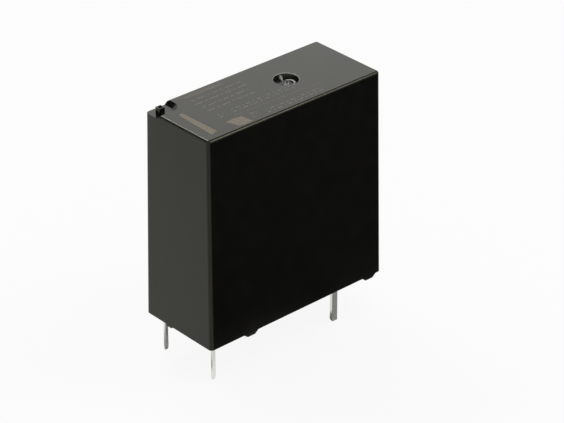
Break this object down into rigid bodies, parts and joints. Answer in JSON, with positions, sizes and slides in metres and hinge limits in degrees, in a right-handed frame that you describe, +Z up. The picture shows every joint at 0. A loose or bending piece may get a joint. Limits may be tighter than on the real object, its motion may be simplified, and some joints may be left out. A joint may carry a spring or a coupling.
{
  "type": "pcb power relay",
  "caption": "Slim black sealed power relay that stands on a circuit board on tinned pins, with a coil, a hinged armature, a card and a normally open contact inside.",
  "frame": {"origin": "middle of the case's footprint, in the plane of the pin tips", "axes": "+Z up from the pin tips to the marked top, X along the case's length with the coil and the vent corner at -X, -Y the long side that the picture shows"},
  "size_m": [0.024, 0.0104, 0.0289],
  "materials": {
    "cover_black": "satin moulded black plastic",
    "base_black": "satin moulded black plastic",
    "resin_dark": "poured epoxy, glossy",
    "bobbin_nylon": "natural nylon",
    "card_white": "off-white moulded plastic",
    "enamel_copper": "enamelled copper wire",
    "magnet_steel": "plated soft iron",
    "spring_bronze": "rolled copper alloy",
    "contact_silver": "silver alloy",
    "tinned_copper": "tin plated sheet",
    "solder": "solder"
  },
  "bodies": {
    "case": {"cover": "cover_black", "base": "base_black", "sealing_resin": "resin_dark", "bobbin": "bobbin_nylon", "coil_winding": "enamel_copper", "iron_core": "magnet_steel", "yoke": "magnet_steel", "hinge_spring": "spring_bronze", "coil_terminal_front": "tinned_copper", "coil_terminal_back": "tinned_copper", "coil_lead_front": "enamel_copper", "coil_lead_back": "enamel_copper", "solder_front": "solder", "solder_back": "solder", "moving_terminal": "tinned_copper", "fixed_terminal": "tinned_copper", "fixed_contact": "contact_silver"},
    "armature": {"armature": "magnet_steel"},
    "card": {"card": "card_white"},
    "contact_spring": {"contact_spring": "spring_bronze", "moving_contact": "contact_silver"}
  },
  "joints": [
    {"name": "armature_hinge", "type": "hinge", "parent": "case", "child": "armature", "pos_m": [-0.00083, 0, 0.02529], "axis": [0, -1, 0], "range_deg": [0, 5.44], "stiffness_Nm_per_rad": 0.004, "springref_deg": -14.32},
    {"name": "card_slide", "type": "slide", "parent": "case", "child": "card", "axis": [1, 0, 0], "range_m": [0, 0.00066]},
    {"name": "spring_flex", "type": "hinge", "parent": "case", "child": "contact_spring", "pos_m": [0.00583, 0, 0.0106], "axis": [0, 1, 0], "range_deg": [0, 4.88], "stiffness_Nm_per_rad": 0.02, "springref_deg": -1.15, "deforming": ["contact_spring"]}
  ],
  "couplings": [
    {"joint": "card_slide", "follows": "armature_hinge", "m_per_rad": 0.0069},
    {"joint": "spring_flex", "follows": "armature_hinge", "ratio": 0.88532}
  ]
}
